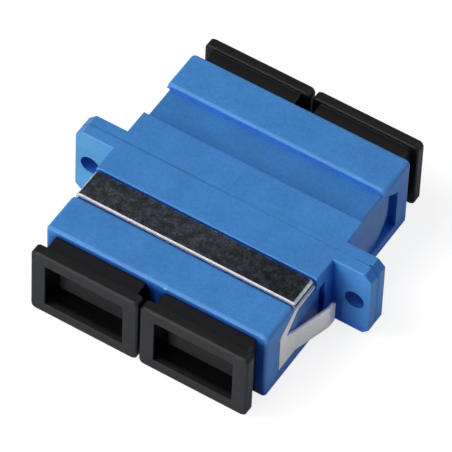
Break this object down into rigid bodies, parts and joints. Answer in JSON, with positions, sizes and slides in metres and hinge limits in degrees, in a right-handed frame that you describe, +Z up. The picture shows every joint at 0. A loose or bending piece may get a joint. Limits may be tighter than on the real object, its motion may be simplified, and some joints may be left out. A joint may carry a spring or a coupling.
{
  "type": "sc duplex fibre adapter",
  "caption": "Duplex flanged fibre-optic adapter in blue plastic with a folded steel panel clip, black pull-off dust caps, inner latch holders and split ceramic sleeves.",
  "frame": {"origin": "under the middle of the flange, on the plane that the housing and the caps rest on", "axes": "+X across the two ports, +Y from the clip end to the plain end, +Z up through the broad faces"},
  "size_m": [0.0346, 0.0332, 0.0092],
  "materials": {
    "blue_housing": "fine satin moulded",
    "steel_clip": "rolled sheet, bright sheared edges",
    "natural_holder": "moulded, uncoloured",
    "zirconia": "ground",
    "black_cap": "soft satin moulded"
  },
  "bodies": {
    "adapter": {"front_housing": "blue_housing", "rear_housing": "blue_housing", "panel_clip": "steel_clip", "front_left_holder": "natural_holder", "front_right_holder": "natural_holder", "rear_left_holder": "natural_holder", "rear_right_holder": "natural_holder", "left_sleeve": "zirconia", "right_sleeve": "zirconia"},
    "front_left_cap": {"front_left_cap": "black_cap"},
    "front_right_cap": {"front_right_cap": "black_cap"},
    "rear_left_cap": {"rear_left_cap": "black_cap"},
    "rear_right_cap": {"rear_right_cap": "black_cap"}
  },
  "joints": [
    {"name": "front_left_cap_pull", "type": "slide", "parent": "adapter", "child": "front_left_cap", "axis": [0, -1, 0], "range_m": [0, 0.0075]},
    {"name": "front_right_cap_pull", "type": "slide", "parent": "adapter", "child": "front_right_cap", "axis": [0, -1, 0], "range_m": [0, 0.0075]},
    {"name": "rear_left_cap_pull", "type": "slide", "parent": "adapter", "child": "rear_left_cap", "axis": [0, 1, 0], "range_m": [0, 0.0075]},
    {"name": "rear_right_cap_pull", "type": "slide", "parent": "adapter", "child": "rear_right_cap", "axis": [0, 1, 0], "range_m": [0, 0.0075]}
  ]
}
